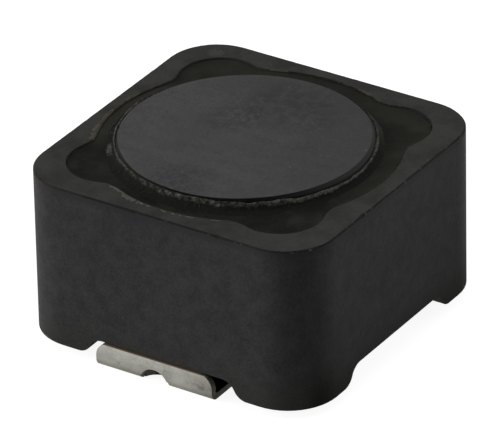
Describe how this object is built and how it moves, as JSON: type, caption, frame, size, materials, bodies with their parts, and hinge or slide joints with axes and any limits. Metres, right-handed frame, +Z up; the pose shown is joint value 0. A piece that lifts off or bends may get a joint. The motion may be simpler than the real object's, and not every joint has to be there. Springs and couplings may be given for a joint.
{
  "type": "drum core inductor",
  "caption": "Square shielded power inductor: a ferrite drum with a hidden winding set in a square ferrite ring with lobed bore and corner feet, on bent tinned terminals.",
  "frame": {"origin": "on the ring's centre line, in the plane of the undersides of the two terminal pads that the part stands on", "axes": "+Z up, from the board to the drum's flat top; +Y from the front terminal to the rear terminal; +X along the front face to the right"},
  "size_m": [0.0126, 0.0126, 0.0073],
  "materials": {
    "shield_ferrite": "matt sintered ferrite, mottled dark grey",
    "drum_ferrite": "ground sintered ferrite, mid grey",
    "magnet_wire": "clear enamelled copper wire",
    "resin": "cured filled resin, dull dark olive grey",
    "adhesive_bead": "rough cured adhesive, light grey",
    "adhesive": "cured adhesive, dark grey",
    "tinned_sheet": "satin tin plate over copper sheet, bare brown sheared edges",
    "solder": "dull reflowed solder"
  },
  "bodies": {
    "root": {"shield_core": "shield_ferrite", "drum_core": "drum_ferrite", "winding": "magnet_wire", "resin_fill": "resin", "flange_bead": "adhesive_bead", "terminal_front": "tinned_sheet", "terminal_rear": "tinned_sheet", "solder_front": "solder", "solder_rear": "solder", "bond_front_left": "adhesive", "bond_front_right": "adhesive", "bond_rear_left": "adhesive", "bond_rear_right": "adhesive"}
  },
  "joints": []
}
